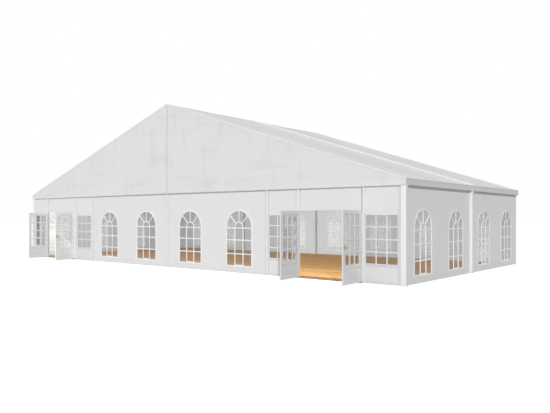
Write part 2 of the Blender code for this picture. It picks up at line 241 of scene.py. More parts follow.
def coated_cloth(name, low, high):
    """White coated cloth that drifts between two tones."""
    made, tree, shader = start_finish(name, 0.48)
    cloudy = ramp(tree, patches(tree, 0.7, 4.0), [(0.35, grey(low)), (0.65, grey(high))])
    fine = ramp(tree, patches(tree, 7.0, 3.0), [(0.3, grey(0.985)), (0.7, grey(1.0))])
    base = multiply(tree, cloudy, fine)
    tree.links.new(between(tree, patches(tree, 3.0), 0.42, 0.56), shader.inputs["Roughness"])
    soft = add_bump(tree, patches(tree, 2.2, 2.0), 0.25, 0.02)
    tree.links.new(weave(tree, 900.0, 0.02, soft), shader.inputs["Normal"])
    return made, tree, shader, base


def roof_cloth():
    """Cloth with streaks down the slope, and painted shade that greys it between the frames."""
    made, tree, shader, base = coated_cloth("roof_cloth", 0.845, 0.875)
    streaks = patches(tree, 1.0, 4.0, (0.16, 1.5, 0.16))
    base = multiply(tree, base, ramp(tree, streaks, [(0.35, grey(0.93)), (0.60, grey(1.0))]))
    split = tree.nodes.new("ShaderNodeSeparateXYZ")
    tree.links.new(object_space(tree), split.inputs["Vector"])
    turn = tree.nodes.new("ShaderNodeMath")
    turn.operation = "MULTIPLY"
    turn.inputs[1].default_value = math.pi / 5.0
    tree.links.new(split.outputs["Y"], turn.inputs[0])
    wave = tree.nodes.new("ShaderNodeMath")
    wave.operation = "SINE"
    tree.links.new(turn.outputs["Value"], wave.inputs[0])
    middle = tree.nodes.new("ShaderNodeMath")
    middle.operation = "ABSOLUTE"
    tree.links.new(wave.outputs["Value"], middle.inputs[0])
    # painted shade: greyer in the middle of each bay, palest over the frames where the cloth is doubled
    tone = ramp(tree, middle.outputs["Value"], [(0.15, grey(1.0)), (0.95, grey(0.92))])
    tree.links.new(multiply(tree, base, tone), shader.inputs["Base Color"])
    return made


def gable_cloth():
    """Cloth with a few darker upright and level streaks, painted crease shade."""
    made, tree, shader, base = coated_cloth("gable_cloth", 0.765, 0.785)
    down = patches(tree, 1.0, 5.0, (2.6, 2.6, 0.55))
    across = patches(tree, 1.0, 5.0, (0.55, 0.55, 3.2))
    # painted shade: darker upright and level streaks where the creases fall
    base = multiply(tree, base, ramp(tree, down, [(0.34, grey(0.95)), (0.46, grey(1.0))]))
    base = multiply(tree, base, ramp(tree, across, [(0.34, grey(0.96)), (0.44, grey(1.0))]))
    tree.links.new(base, shader.inputs["Base Color"])
    return made


ROOF_CLOTH = roof_cloth()
GABLE_CLOTH = gable_cloth()
print("cloth finishes:", ROOF_CLOTH.name, GABLE_CLOTH.name)

# %% [markdown]
# The frames are aluminium with a white powder coat, the wall panels and door profiles are white
# plastic over a core. Both are nearly flat, so the detail is small: a faint orange-peel skin, tiny
# changes of gloss, and dust that gathers towards the ground.


# %% Hard white finishes
def smooth_white(name, low, high, roughness, peel, dust=0.0):
    """A hard white skin that drifts between two tones, with dust near the ground."""
    made, tree, shader = start_finish(name, roughness, specular=0.35)
    base = ramp(tree, patches(tree, 1.3, 4.0), [(0.35, grey(low)), (0.65, grey(high))])
    if dust:
        split = tree.nodes.new("ShaderNodeSeparateXYZ")
        tree.links.new(object_space(tree), split.inputs["Vector"])
        foot = ramp(tree, split.outputs["Z"], [(0.0, grey(1.0 - dust, 0.003)), (0.35, grey(1.0))])
        base = multiply(tree, base, foot)
    tree.links.new(base, shader.inputs["Base Color"])
    gloss = between(tree, patches(tree, 5.0), roughness - 0.05, roughness + 0.07)
    tree.links.new(gloss, shader.inputs["Roughness"])
    tree.links.new(add_bump(tree, patches(tree, 260.0, 1.0), peel, 0.0006), shader.inputs["Normal"])
    return made


POWDER_COAT = smooth_white("powder_coat_white", 0.885, 0.91, 0.40, 0.10, 0.04)
UPRIGHT_COAT = smooth_white("upright_white", 0.84, 0.865, 0.45, 0.10, 0.03)
RAIL_COAT = smooth_white("roof_rail_white", 0.88, 0.905, 0.45, 0.10)
# painted shade: the fascia and its beads are greyer than the other whites, for the shade on their faces
FASCIA_SHADED_COAT = smooth_white("fascia_painted_shade_white", 0.695, 0.715, 0.40, 0.10)
WALL_SKIN = smooth_white("wall_panel_white", 0.785, 0.80, 0.60, 0.12, 0.03)
WINDOW_WHITE = smooth_white("window_bar_white", 0.90, 0.925, 0.38, 0.05)
# painted light and shade: one door white, made lighter on the left door and greyer on the right for how light falls on
# the leaves
LEFT_DOOR_LIT_WHITE = smooth_white("left_door_painted_light_white", 0.915, 0.94, 0.36, 0.06, 0.02)
RIGHT_DOOR_SHADED_WHITE = smooth_white("right_door_painted_shade_white", 0.72, 0.745, 0.36, 0.06, 0.03)
LIGHT_WHITE = smooth_white("sidelight_white", 0.785, 0.81, 0.40, 0.06, 0.03)
SEAL_GREY = smooth_white("seal_grey", 0.30, 0.36, 0.70, 0.20)
# painted shade: the dark grey of the covers on the rear uprights' inner faces
REAR_SHADE_GREY = smooth_white("rear_painted_shade_grey", 0.44, 0.50, 0.70, 0.20)
PALE_SEAL = smooth_white("pale_seal_grey", 0.73, 0.76, 0.65, 0.15)
print("white finishes:", POWDER_COAT.name, WALL_SKIN.name, LIGHT_WHITE.name)

# %% [markdown]
# Windows are clear vinyl film and the doors have thin safety glass. Both are mostly seen through,
# so the shader is kept light: a constant alpha lets the view pass, and a soft wave in the bump
# breaks up reflections, more in the film than in the glass.


# %% Clear finishes
def clear_sheet(name, colour, alpha, roughness, wave):
    """A see-through skin that waves a little."""
    made, tree, shader = start_finish(name, roughness)
    tone = ramp(tree, patches(tree, 1.6), [(0.3, colour), (0.7, tuple(c * 1.1 for c in colour))])
    tree.links.new(tone, shader.inputs["Base Color"])
    shader.inputs["Alpha"].default_value = alpha
    tree.links.new(add_bump(tree, patches(tree, 4.0, 2.0), wave, 0.01), shader.inputs["Normal"])
    return made


WINDOW_FILM = clear_sheet("window_film", (0.17, 0.175, 0.17), 0.18, 0.12, 0.15)
# painted light: a paler film for the rear and left panes, standing in for the daylight seen through them from inside
DAYLIT_FILM = clear_sheet("window_film_painted_daylight", (0.64, 0.64, 0.61), 0.42, 0.30, 0.15)
DOOR_GLASS = clear_sheet("door_glass", (0.16, 0.17, 0.16), 0.13, 0.06, 0.05)
print("clear finishes:", WINDOW_FILM.name, DAYLIT_FILM.name, DOOR_GLASS.name)

# %% [markdown]
# The floor is laid from warm orange-brown boards. Each board keeps its own tone in an attribute,
# which also shifts the grain along, so no two neighbours match. The grain is noise drawn out along
# the boards. Handles are dark coated metal, and bolts and hinges are plain steel.


# %% Wood and metal
def floor_wood():
    made, tree, shader = start_finish("floor_board_wood", 0.60, specular=0.08)
    tone = tree.nodes.new("ShaderNodeAttribute")
    tone.attribute_name = "board_tone"
    shift = tree.nodes.new("ShaderNodeVectorMath")
    shift.operation = "SCALE"
    shift.inputs["Scale"].default_value = 37.0
    tree.links.new(tone.outputs["Vector"], shift.inputs[0])
    moved = tree.nodes.new("ShaderNodeVectorMath")
    moved.operation = "ADD"
    tree.links.new(object_space(tree, (0.9, 16.0, 16.0)), moved.inputs[0])
    tree.links.new(shift.outputs["Vector"], moved.inputs[1])
    grain = tree.nodes.new("ShaderNodeTexNoise")
    grain.inputs["Scale"].default_value = 2.2
    grain.inputs["Detail"].default_value = 7.0
    grain.inputs["Distortion"].default_value = 0.6
    tree.links.new(moved.outputs["Vector"], grain.inputs["Vector"])
    stops = [(0.30, (0.50, 0.27, 0.095)), (0.50, (0.64, 0.36, 0.14)), (0.72, (0.75, 0.44, 0.19))]
    base = ramp(tree, grain.outputs["Fac"], stops)
    board = ramp(tree, tone.outputs["Fac"], [(0.0, (0.76, 0.72, 0.68)), (1.0, (1.0, 1.0, 1.0))])
    tree.links.new(multiply(tree, base, board), shader.inputs["Base Color"])
    tree.links.new(between(tree, grain.outputs["Fac"], 0.54, 0.68), shader.inputs["Roughness"])
    tree.links.new(add_bump(tree, grain.outputs["Fac"], 0.15, 0.002), shader.inputs["Normal"])
    return made


def metal(name, low, high, roughness):
    """Brushed or coated metal with small changes of tone and gloss."""
    made, tree, shader = start_finish(name, roughness, metallic=0.85)
    base = ramp(tree, patches(tree, 60.0, 3.0, (1.0, 1.0, 4.0)), [(0.3, grey(low)), (0.7, grey(high))])
    tree.links.new(base, shader.inputs["Base Color"])
    gloss = between(tree, patches(tree, 90.0), roughness - 0.08, roughness + 0.1)
    tree.links.new(gloss, shader.inputs["Roughness"])
    tree.links.new(add_bump(tree, patches(tree, 500.0, 1.0), 0.1, 0.0004), shader.inputs["Normal"])
    return made


FLOOR_WOOD = floor_wood()
DARK_METAL = metal("handle_dark_metal", 0.045, 0.065, 0.38)
STEEL = metal("bolt_steel", 0.50, 0.60, 0.35)
print("wood and metal:", FLOOR_WOOD.name, DARK_METAL.name, STEEL.name)

# %% [markdown]
# A plain pale floor carries the tent. It is large, so that its edge lies far behind, and a little
# self-lit, so that it fades into the white sky while shadows still show on it. It is hidden from
# bounced light, which would lift the walls from below.

# %% Stage floor
STAGE_HALF = 160.0
stage_bm = bmesh.new()
bmesh.ops.create_grid(stage_bm, x_segments=1, y_segments=1, size=STAGE_HALF)
bmesh.ops.translate(stage_bm, vec=(0.0, 0.0, -0.001), verts=stage_bm.verts)
stage_mesh = bpy.data.meshes.new("stage_floor")
stage_bm.to_mesh(stage_mesh)
stage_bm.free()
stage_floor = bpy.data.objects.new("stage_floor", stage_mesh)
scene.collection.objects.link(stage_floor)
stage_finish, stage_tree, stage_shader = start_finish("stage_floor", 0.9, specular=0.1)
stage_tone = ramp(stage_tree, patches(stage_tree, 0.05), [(0.3, grey(0.93)), (0.7, grey(0.94))])
stage_tree.links.new(stage_tone, stage_shader.inputs["Base Color"])
stage_shader.inputs["Emission Color"].default_value = (1.0, 1.0, 1.0, 1.0)
stage_shader.inputs["Emission Strength"].default_value = 0.40
stage_mesh.materials.append(stage_finish)
stage_floor.visible_diffuse = False
print("stage floor, half width:", STAGE_HALF)

# %% [markdown]
# Most pieces here are made the same way: bars and outlines gathered in one bmesh, edges softened
# together, and the result kept as one object that rides on a body of the frame. A bevel catches
# light along each edge, which tells the eye how thick a profile is.


# %% Helpers for pieces
def keep(work, name, material, body="root", replaced=()):
    """One finished object at the origin from a bmesh."""
    bmesh.ops.recalc_face_normals(work, faces=work.faces)
    mesh = bpy.data.meshes.new(name)
    work.to_mesh(mesh)
    work.free()
    mesh.materials.append(material)
    made = bpy.data.objects.new(name, mesh)
    scene.collection.objects.link(made)
    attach(made, body)
    if replaced:
        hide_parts(*replaced)
    return made


def bar(work, low, high, turn=Matrix()):
    """A square bar between two opposite corners, then turned."""
    low, high = Vector(low), Vector(high)
    size = [abs(side) for side in high - low]
    place = Matrix.Translation((low + high) / 2) @ Matrix.Diagonal((*size, 1.0))
    return bmesh.ops.create_cube(work, size=1.0, matrix=turn @ place)["verts"]


def soften(work, width, segments=1, least=35.0):
    """Bevels every edge sharper than this many degrees."""
    sharp = [
        edge
        for edge in work.edges
        if len(edge.link_faces) == 2 and edge.calc_face_angle() > math.radians(least)
    ]
    bmesh.ops.bevel(
        work,
        geom=sharp,
        offset=width,
        offset_type="OFFSET",
        segments=segments,
        profile=0.5,
        affect="EDGES",
        material=-1,
        clamp_overlap=True,
    )


def stamp(work, template, place):
    """Adds a copy of a template mesh, moved by a matrix."""
    before = len(work.verts)
    work.from_mesh(template)
    work.verts.ensure_lookup_table()
    bmesh.ops.transform(work, matrix=place, verts=work.verts[before:])


def as_template(work, name):
    """A mesh to stamp from a bmesh."""
    bmesh.ops.recalc_face_normals(work, faces=work.faces)
    mesh = bpy.data.meshes.new(name)
    work.to_mesh(mesh)
    work.free()
    return mesh


def thicken(work, faces, near, far):
    """Gives flat faces in the XZ plane their thickness, from y near to y far."""
    for face in faces:
        if face.normal.y > 0:
            face.normal_flip()
    bmesh.ops.translate(work, vec=(0.0, near, 0.0), verts=list({v for f in faces for v in f.verts}))
    grown = bmesh.ops.extrude_face_region(work, geom=faces, use_keep_orig=True)["geom"]
    moved = [item for item in grown if isinstance(item, bmesh.types.BMVert)]
    bmesh.ops.translate(work, vec=(0.0, far - near, 0.0), verts=moved)


# %% [markdown]
# The solids that are right as they are keep their shape and only get a finish: the frames, uprights,
# purlins, fascias, wall panels and door glass.

# %% Finishes for the solids that stay
HARD_FINISHES = (
    (("_frame", "_purlin"), POWDER_COAT),
    (("_gable_frame",), UPRIGHT_COAT),
    (("_fascia",), FASCIA_SHADED_COAT),
    (("_panel", "_sidelight", "_wall"), WALL_SKIN),
    (("_glass",), DOOR_GLASS),
)
for endings, finish in HARD_FINISHES:
    chosen = [solid for name, solid in nodes.items() if name.endswith(endings)]
    for solid in chosen:
        solid.data.materials.clear()
        solid.data.materials.append(finish)
    print(finish.name, "on", len(chosen), "solids")

# %% [markdown]
# An arched window is a moulded white frame on each side of the wall, with flat bars between. The
# outline starts as a disc, cut in half and drawn down to the sill. Insetting it and taking out the
# middle leaves a band of even width, which serves for the frame and again for the small arch inside.

# %% Arched band
ARCH_SEGMENTS = 48


def arch_face(work, half, foot, spring):
    """One face: straight jambs under a half circle, in the XZ plane."""
    upright = Matrix.Translation((0.0, 0.0, spring)) @ Matrix.Rotation(math.pi / 2, 4, "X")
    before = set(work.faces)
    disc = bmesh.ops.create_circle(
        work, cap_ends=True, radius=half, segments=ARCH_SEGMENTS, matrix=upright
    )["verts"]
    parts = set(disc) | {e for v in disc for e in v.link_edges} | {f for v in disc for f in v.link_faces}
    cut = bmesh.ops.bisect_plane(
        work,
        geom=list(parts),
        dist=1e-5,
        plane_co=(0.0, 0.0, spring),
        plane_no=(0.0, 0.0, 1.0),
        clear_inner=True,
    )["geom_cut"]
    chord = [item for item in cut if isinstance(item, bmesh.types.BMEdge)]
    drawn = bmesh.ops.extrude_edge_only(work, edges=chord)["geom"]
    low = [item for item in drawn if isinstance(item, bmesh.types.BMVert)]
    bmesh.ops.translate(work, vec=(0.0, 0.0, foot - spring), verts=low)
    fresh = [face for face in work.faces if face not in before]
    return bmesh.ops.dissolve_faces(work, faces=fresh)["region"][0]


def arch_band(work, half, foot, spring, width, near, far):
    """A band of even width round that outline."""
    face = arch_face(work, half, foot, spring)
    ring = bmesh.ops.inset_region(
        work, faces=[face], thickness=width, use_boundary=True, use_even_offset=True
    )["faces"]
    bmesh.ops.delete(work, geom=[face], context="FACES_ONLY")
    thicken(work, ring, near, far)


# %% [markdown]
# The bars divide the film into three columns and four rows, with a fan above: a small arch on the
# two uprights and three spokes from it to the frame. One window is modelled flat at the origin,
# with its outer side towards -Y, and stamped wherever a wall has one.

# %% Window template
WALL = 0.010
RING_HALF = 0.612
RING_WIDE = 0.047
SILL = 0.252
SPRING = 1.56
CLEAR_HALF = RING_HALF - RING_WIDE
BAR_WIDE = 0.036
FAN_HALF = 0.208
ROWS = (0.652, 1.128, 1.54)
SPOKES = (45.0, 90.0, 135.0)


def arched_window():
    work = bmesh.new()
    foot = SILL + CLEAR_HALF - RING_HALF
    arch_band(work, RING_HALF, foot, SPRING, RING_WIDE, -0.009, 0.0)
    arch_band(work, RING_HALF, foot, SPRING, RING_WIDE, WALL, WALL + 0.009)
    arch_band(work, FAN_HALF, SILL - 0.01, SPRING - 0.01, BAR_WIDE, -0.0065, WALL + 0.006)
    for row in ROWS:
        low = (-CLEAR_HALF - 0.005, -0.006, row - BAR_WIDE / 2)
        bar(work, low, (CLEAR_HALF + 0.005, WALL + 0.0055, row + BAR_WIDE / 2))
    hub = Vector((0.0, 0.0, SPRING))
    for angle in SPOKES:
        turn = Matrix.Translation(hub) @ Matrix.Rotation(-math.radians(angle), 4, "Y")
        low = (FAN_HALF - 0.01, -0.0055, -BAR_WIDE / 2)
        bar(work, low, (CLEAR_HALF + 0.005, WALL + 0.005, BAR_WIDE / 2), turn)
    soften(work, 0.0025)
    return as_template(work, "arched_window")


WINDOW = arched_window()
print("one window:", len(WINDOW.polygons), "faces")

# %% [markdown]
# The four walls hold twenty of these windows, two to a bay. Each wall turns the template to face
# outwards. The windows of one bay become one piece, so a bay can be taken out of the model whole.

# %% Windows of the walls
WINDOW_OFFSET = 1.225
FRONT_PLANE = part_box("front_left_arched_panel")[0].y
REAR_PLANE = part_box("rear_left_panel")[1].y
SIDE_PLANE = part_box("right_front_wall")[1].x


def on_wall(wall, along):
    """The matrix that sets a template on the outer face of a wall, this far along it."""
    if wall == "front":
        return Matrix.Translation((along, FRONT_PLANE, 0.0))
    if wall == "rear":
        return Matrix.Translation((along, REAR_PLANE, 0.0)) @ Matrix.Rotation(math.pi, 4, "Z")
    side = 1 if wall == "right" else -1
    return Matrix.Translation((side * SIDE_PLANE, along, 0.0)) @ Matrix.Rotation(side * math.pi / 2, 4, "Z")


BAYS = (
    ("front_left", "front", -2.5),
    ("front_right", "front", 2.5),
    ("rear_far_left", "rear", -7.5),
    ("rear_left", "rear", -2.5),
    ("rear_right", "rear", 2.5),
    ("rear_far_right", "rear", 7.5),
    ("left_front", "left", -2.5),
    ("left_rear", "left", 2.5),
    ("right_front", "right", -2.5),
    ("right_rear", "right", 2.5),
)
for bay, wall, middle in BAYS:
    work = bmesh.new()
    for offset in (-WINDOW_OFFSET, WINDOW_OFFSET):
        stamp(work, WINDOW, on_wall(wall, middle + offset))
    keep(work, f"{bay}_window_bars", WINDOW_WHITE)
print("bays with arched windows:", len(BAYS))

# %% [markdown]
# Beside the doors stand sidelights: rectangular windows of three columns and four rows over a plain
# kick panel. Their frames are slim, and a narrow grey seal runs round the kick panel and up both
# sides, where the unit is set between its uprights.

# %% Sidelight template
LIGHT_CENTRES = {"inner": 5.60, "outer": 9.22}
LIGHT_WIDE = 1.04
LIGHT_SILL = 0.568
LIGHT_HEAD = 1.99
LIGHT_ROWS = (0.92, 1.28, 1.64)
LIGHT_FRAME = 0.024
LIGHT_OVER = 0.010
SEAL = 0.005
WALL_TOP = 2.79


def rectangle_band(work, low, high, width, near, far):
    """A frame of even width inside the rectangle from low to high, given as (x, z)."""
    for x in (low[0], high[0] - width):
        bar(work, (x, near, low[1]), (x + width, far, high[1]))
    for z in (low[1], high[1] - width):
        bar(work, (low[0] + width, near, z), (high[0] - width, far, z + width))


def sidelight_bars():
    work = bmesh.new()
    half = LIGHT_WIDE / 2
    outer = half + LIGHT_OVER
    for near, far in ((-0.006, 0.0), (WALL, WALL + 0.006)):
        low = (-outer, LIGHT_SILL - LIGHT_OVER)
        rectangle_band(work, low, (outer, LIGHT_HEAD + LIGHT_OVER), LIGHT_FRAME, near, far)
    for x in (-half / 3, half / 3):
        low = (x - BAR_WIDE / 2, -0.005, LIGHT_SILL)
        bar(work, low, (x + BAR_WIDE / 2, WALL + 0.005, LIGHT_HEAD))
    for z in LIGHT_ROWS:
        low = (-half, -0.0045, z - BAR_WIDE / 2)
        bar(work, low, (half, WALL + 0.0045, z + BAR_WIDE / 2))
    bar(work, (-outer, -0.016, LIGHT_SILL - 0.014), (outer, 0.0, LIGHT_SILL + 0.014))
    soften(work, 0.002)
    return as_template(work, "sidelight_bars")


def sidelight_seals():
    work = bmesh.new()
    half = LIGHT_WIDE / 2 + 0.02
    for x in (-half, half):
        bar(work, (x - SEAL / 2, -0.0025, 0.05), (x + SEAL / 2, 0.0, WALL_TOP))
    for z in (0.05, 0.515):
        bar(work, (-half, -0.0025, z - SEAL / 2), (half, 0.0, z + SEAL / 2))
    soften(work, 0.0008)
    return as_template(work, "sidelight_seals")


LIGHT_BARS = sidelight_bars()
LIGHT_SEALS = sidelight_seals()
sidelights = {}
for hand, turn in (("left", -1), ("right", 1)):
    for place, centre in LIGHT_CENTRES.items():
        name = f"{hand}_door_{place}_sidelight"
        sidelights[name] = turn * centre
        for template, finish, part in (
            (LIGHT_BARS, LIGHT_WHITE, "bars"),
            (LIGHT_SEALS, SEAL_GREY, "seals"),
        ):
            work = bmesh.new()
            stamp(work, template, on_wall("front", sidelights[name]))
            keep(work, f"{name}_{part}", finish)
print("sidelights at", {name: round(x, 3) for name, x in sidelights.items()})

# %% [markdown]
# The clear film lies in the middle of each wall, one pane to a window. Separate panes are closer to
# the real thing than one long sheet behind the uprights, so they stand for the plain solids, which
# go out of sight. Each pane is the window's outline given the thickness of the film.

# %% Panes
FILM = 0.003
FILM_NEAR = 0.0035


def arched_pane():
    work = bmesh.new()
    face = arch_face(work, CLEAR_HALF + 0.003, SILL - 0.001, SPRING)
    thicken(work, [face], FILM_NEAR, FILM_NEAR + FILM)
    return as_template(work, "arched_pane")


def sidelight_pane():
    work = bmesh.new()
    half = LIGHT_WIDE / 2 - 0.001
    low = (-half, FILM_NEAR, LIGHT_SILL + 0.001)
    bar(work, low, (half, FILM_NEAR + FILM, LIGHT_HEAD - 0.001))
    soften(work, 0.0008)
    return as_template(work, "sidelight_pane")


ARCHED_PANE = arched_pane()
LIGHT_PANE = sidelight_pane()
PANE_SETS = (
    ("front_window_panes", ("front_left", "front_right"), "front_window_film"),
    ("rear_window_panes", ("rear_far_left", "rear_left", "rear_right", "rear_far_right"), "rear_window_film"),
    ("left_front_window_panes", ("left_front",), "left_front_wall_film"),
    ("left_rear_window_panes", ("left_rear",), "left_rear_wall_film"),
    ("right_front_window_panes", ("right_front",), "right_front_wall_film"),
    ("right_rear_window_panes", ("right_rear",), "right_rear_wall_film"),
)
bay_places = {bay: (wall, middle) for bay, wall, middle in BAYS}
for name, bays, film in PANE_SETS:
    work = bmesh.new()
    for bay in bays:
        wall, middle = bay_places[bay]
        for offset in (-WINDOW_OFFSET, WINDOW_OFFSET):
            stamp(work, ARCHED_PANE, on_wall(wall, middle + offset))
    if name == "front_window_panes":
        for middle in sidelights.values():
            stamp(work, LIGHT_PANE, on_wall("front", middle))
    # rear and left panes take the film with painted daylight
    finish = DAYLIT_FILM if name.startswith(("rear", "left")) else WINDOW_FILM
    keep(work, name, finish, replaced=[film])
print("sets of panes:", len(PANE_SETS))

# %% [markdown]
# A cover spans each bay, from eave to eave over the ridge. It is held in slots along the frames and
# pulled tight, so it only dips a few centimetres between the purlins, with soft folds down the
# slope. The sheet is a fine grid whose points are set on the roof line and then pushed in by the
# dip and the folds. One broad fold swings across the front bay, where the cloth is slack.

# %% Roof covers
SPAN_HALF = 10.0
EAVE = 3.0
PITCH = math.radians(18.0)
BAY = 5.0
SLOPE_LONG = SPAN_HALF / math.cos(PITCH)
CLOTH = 0.002
COVER_STEPS = (280, 90)


def roof_line(x):
    """Height of the roof's outer face."""
    return EAVE + (SPAN_HALF - abs(x)) * math.tan(PITCH)


def bump_at(distance, width):
    """1 at no distance, 0 from the width on, smooth between."""
    near = max(0.0, 1.0 - abs(distance) / width)
    return near * near * (3.0 - 2.0 * near)


def cover_dip(x, y):
    """How far the cloth lies below the roof's outer face."""
    across = math.sin(math.pi * min(1.0, abs(y) / BAY))
    cell = abs(math.sin(math.pi * x / BAY))
    dip = across * (0.004 + 0.016 * cell)
    streak = noise.noise(Vector((x * 0.30, y * 3.1, 3.0 if y < 0 else 8.0)))
    streak += 0.6 * noise.noise(Vector((x * 0.45, y * 7.0, 5.0)))
    dip += 0.0022 * across * (1.0 + streak)
    down = abs(x) / SPAN_HALF
    fold = -2.5 - 1.1 * math.sin(math.pi * down) + 0.2 * down
    if y > 0:
        fold = 2.2 + 0.7 * math.sin(math.pi * down)
    return dip + 0.010 * across * bump_at(y - fold, 0.55)


def roof_cover(bay, side):
    work = bmesh.new()
    bmesh.ops.create_grid(work, x_segments=COVER_STEPS[0], y_segments=COVER_STEPS[1], size=0.5)
    square = Vector((math.sin(PITCH), 0.0, math.cos(PITCH)))
    for vert in work.verts:
        along = vert.co.x * 2 * SLOPE_LONG
        y = side * (vert.co.y + 0.5) * (BAY - 0.0004) + side * 0.0002
        x = along * math.cos(PITCH)
        facing = Vector((math.copysign(square.x, x), 0.0, square.z))
        if abs(x) < 0.001:
            facing = Vector((0.0, 0.0, 1.0))
        vert.co = Vector((x, y, roof_line(x))) - cover_dip(x, y) * facing
    name = f"{bay}_roof_sheet"
    made = keep(work, name, ROOF_CLOTH, replaced=[f"{bay}_roof_cover"])
    for face in made.data.polygons:
        face.use_smooth = True
    if made.data.polygons[0].normal.z < 0:
        made.data.flip_normals()
    shell = made.modifiers.new("thickness", "SOLIDIFY")
    shell.thickness = CLOTH
    shell.offset = -1.0
    return made


covers = [roof_cover("front", -1), roof_cover("rear", 1)]
print("roof covers:", [len(cover.data.polygons) for cover in covers], "faces")

# %% [markdown]
# Each gable is closed by two cloths that meet under the ridge. Cloth that was folded for transport
# keeps soft creases, mostly upright and level ones, and they show in raking light. They are made as
# ridged noise, drawn out upwards and sideways, and pressed a few millimetres into the sheet. The
# foot ends in a hem over the rail.

# %% Gable cloths
FABRIC_EDGE = 2.80
GABLE_STEPS = (220, 76)
HEM = 0.055


def crease(x, z, seed):
    """Soft ridges, upright and level, from about -1 to 1."""
    upright = noise.noise(Vector((x * 1.35, z * 0.42, seed)))
    level = noise.noise(Vector((x * 0.40, z * 1.7, seed + 20.0)))
    small = noise.noise(Vector((x * 3.4, z * 2.6, seed + 40.0)))
    ridges = (1.0 - abs(upright) * 2.6) * 0.8 + (1.0 - abs(level) * 2.6) * 0.6
    return ridges * 0.6 + small * 0.5


def gable_cloth_sheet(end, side, hand, turn):
    work = bmesh.new()
    bmesh.ops.create_grid(work, x_segments=GABLE_STEPS[0], y_segments=GABLE_STEPS[1], size=0.5)
    plane = 4.9975
    seed = 3.0 * (side + 2) + turn
    for vert in work.verts:
        out = vert.co.x + 0.5
        up = vert.co.y + 0.5
        x = 0.0025 + out * (SPAN_HALF - 0.0025)
        top = roof_line(x) - 0.004
        z = FABRIC_EDGE + up * (top - FABRIC_EDGE)
        free = min(1.0, (top - z) / 0.35, (z - FABRIC_EDGE) / 0.25, (x / 0.12))
        free = max(0.0, free)
        depth = 0.0035 * free * crease(x * turn, z, seed)
        hem = 0.0018 if z < FABRIC_EDGE + HEM else 0.0
        y = side * (plane - 0.002 * free + depth + hem)
        vert.co = Vector((turn * x, y, z))
    name = f"{end}_{hand}_gable_sheet"
    replaced = [f"{end}_{hand}_gable_fabric"]
    made = keep(work, name, GABLE_CLOTH, replaced=replaced)
    for face in made.data.polygons:
        face.use_smooth = True
    if made.data.polygons[0].normal.y * side < 0:
        made.data.flip_normals()
    shell = made.modifiers.new("thickness", "SOLIDIFY")
    shell.thickness = CLOTH
    shell.offset = -1.0
    return made


gables = [
    gable_cloth_sheet(end, side, hand, turn)
    for end, side in (("front", -1), ("rear", 1))
    for hand, turn in (("left", -1), ("right", 1))
]
print("gable cloths:", [made.name for made in gables])

# %% [markdown]
# The cloth runs in aluminium rails. At each gable a slim bright rail follows the roof edge, and over
# the middle frame a wider rail stands a little above the cloth, where the two covers meet. Each is
# one long bar laid at the pitch of the roof, cut upright at the ridge and mirrored to the other slope.

# %% Roof rails
RAIL_OVER = 0.006


def slope_bars(work, sections):
    """Bars along both slopes. A section is (y low, y high, low, high), measured square to the roof."""
    tilt = Matrix.Translation((SPAN_HALF, 0.0, EAVE)) @ Matrix.Rotation(PITCH, 4, "Y")
    for y_low, y_high, low, high in sections:
        bar(work, (-SLOPE_LONG - 0.2, y_low, low), (0.0, y_high, high), tilt)
    geom = work.verts[:] + work.edges[:] + work.faces[:]
    cut = bmesh.ops.bisect_plane(
        work, geom=geom, dist=1e-6, plane_co=(0.0, 0.0, 0.0), plane_no=(1.0, 0.0, 0.0), clear_inner=True
    )["geom_cut"]
    ends = [item for item in cut if isinstance(item, bmesh.types.BMEdge)]
    bmesh.ops.holes_fill(work, edges=ends, sides=0)
    soften(work, 0.0015, 2)
    geom = work.verts[:] + work.edges[:] + work.faces[:]
    bmesh.ops.mirror(work, geom=geom, matrix=Matrix(), merge_dist=1e-5, axis="X")


def rake_rail(end, side):
    """A rail that caps the roof edge: a face on the gable and a flange on the roof."""
    work = bmesh.new()
    edge = 5.0
    face = sorted((side * (edge + 0.004), side * (edge - 0.0005)))
    flange = sorted((side * (edge + 0.004), side * (edge - 0.055)))
    slope_bars(work, [(*face, -0.036, RAIL_OVER), (*flange, 0.001, RAIL_OVER)])
    return keep(work, f"{end}_rake_rail", POWDER_COAT)


def middle_rail():
    """The rail over the middle frame, with a low lip each side."""
    work = bmesh.new()
    sections = [(-0.055, 0.055, 0.001, 0.007), (-0.055, -0.042, 0.007, 0.016), (0.042, 0.055, 0.007, 0.016)]
    slope_bars(work, sections)
    return keep(work, "middle_roof_rail", RAIL_COAT)


rails = [rake_rail("front", -1), rake_rail("rear", 1), middle_rail()]
print("roof rails:", [rail.name for rail in rails])

# %% [markdown]
# Along each eave the fascia carries a rounded bead at the top, where the cover's edge is held, and
# a drip lip at the foot. Both are long bars with a generous bevel.

# %% Eave beads
FASCIA_LONG = 4.9897


def eave_beads(hand, turn):
    work = bmesh.new()
    for low, high in (((9.985, 2.972), (10.006, 2.996)), ((9.996, 2.811), (10.005, 2.827))):
        bar(
            work,
            (turn * low[0], -FASCIA_LONG, low[1]),
            (turn * high[0], FASCIA_LONG, high[1]),
        )
    for y in (-2.5, 0.0, 2.5):
        bar(work, (turn * 9.999, y - 0.030, 2.827), (turn * 10.0025, y + 0.030, 2.972))
    soften(work, 0.0025, 2)
    return keep(work, f"{hand}_eave_beads", FASCIA_SHADED_COAT)


beads = [eave_beads("left", -1), eave_beads("right", 1)]
print("eave beads:", [made.name for made in beads])

# %% [markdown]
# The doors are white leaves with a grid of twelve panes over a recessed kick panel. A leaf is built
# closed, at its hinge axis, from stiles, rails, bars and beads, and only then turned to the angle at
# which it stands open. Leaves that hinge on the other side are the mirror image.

# %% Door leaf template
LEAF_NEAR, LEAF_FAR = 0.012, 0.057
LEAF_START, LEAF_END = 0.003, 1.1555
LEAF_FOOT, LEAF_TOP = 0.042, 2.112
STILE = 0.125
GLASS_LOW, GLASS_HIGH = 0.57, 2.01
KICK_LOW, KICK_HIGH = 0.135, 0.475
LEAF_BAR = 0.038


